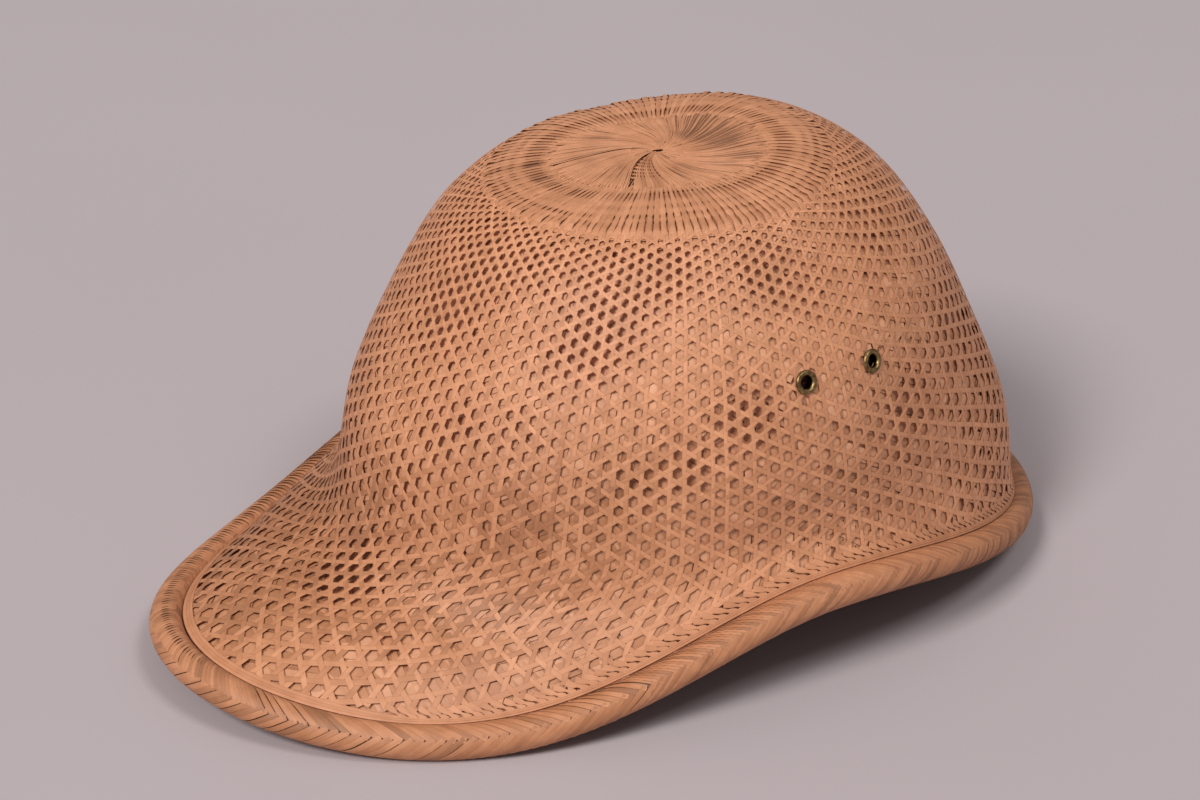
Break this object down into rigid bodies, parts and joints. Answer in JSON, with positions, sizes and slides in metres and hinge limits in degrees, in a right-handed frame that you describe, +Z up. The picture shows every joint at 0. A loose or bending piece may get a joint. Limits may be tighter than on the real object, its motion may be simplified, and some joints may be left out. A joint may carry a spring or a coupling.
{
  "type": "woven straw cap",
  "caption": "Hollow woven straw cap with a rounded crown, a front peak in one piece with it, a rolled braided edge and small brass vent eyelets.",
  "frame": {"origin": "bottom centre of the cap's box as it rests on its edge", "axes": "+Z up, the peak points to -Y, the wearer's left side is +X"},
  "size_m": [0.1894, 0.281, 0.1321],
  "materials": {
    "straw": "open six-cornered straw weave, dry and slightly glossy",
    "straw_inside": "closer straw weave, dry",
    "straw_cord": "laid straw cord, dry",
    "straw_braid": "herringbone straw braid, slightly glossy",
    "aged_brass": "dull and tarnished"
  },
  "bodies": {
    "root": {"crown_weave": "straw", "lining_weave": "straw_inside", "edge_cord": "straw_cord", "edge_braid": "straw_braid", "eyelet_left_front": "aged_brass", "eyelet_left_back": "aged_brass", "eyelet_right_front": "aged_brass", "eyelet_right_back": "aged_brass"}
  },
  "joints": []
}
